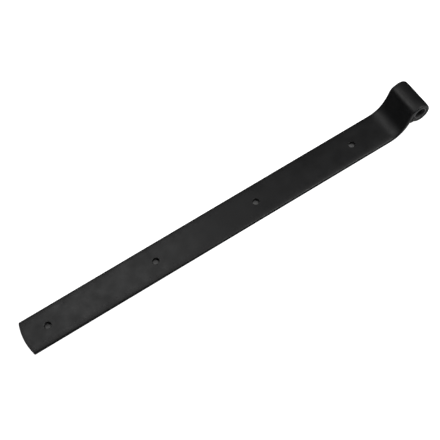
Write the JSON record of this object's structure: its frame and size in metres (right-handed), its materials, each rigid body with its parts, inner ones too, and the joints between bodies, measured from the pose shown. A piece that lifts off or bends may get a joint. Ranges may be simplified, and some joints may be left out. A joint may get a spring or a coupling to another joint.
{
  "type": "door hinge strap",
  "caption": "Long flat steel hinge strap with a shallow arc tip, screw holes along its middle, a crank and a rolled eye with a liner bush for a hook's pin.",
  "frame": {"origin": "middle of the eye, on the axis of the hook's pin", "axes": "+X along the strap towards the eye, +Y along the pin, +Z from the back face that lies on the door to the front"},
  "size_m": [0.4611, 0.038, 0.0326],
  "materials": {
    "black_coat": "black powder coat, satin, fine texture",
    "weld_coat": "black powder coat over a rippled weld",
    "bush_steel": "dark phosphated steel, oiled"
  },
  "bodies": {
    "strap_body": {"strap": "black_coat", "eye_weld": "weld_coat"},
    "bush_body": {"eye_bush": "bush_steel"}
  },
  "joints": [
    {"name": "eye_swing", "type": "hinge", "parent": "strap_body", "child": "bush_body", "pos_m": [0, 0, 0], "axis": [0, 1, 0], "continuous": true}
  ]
}
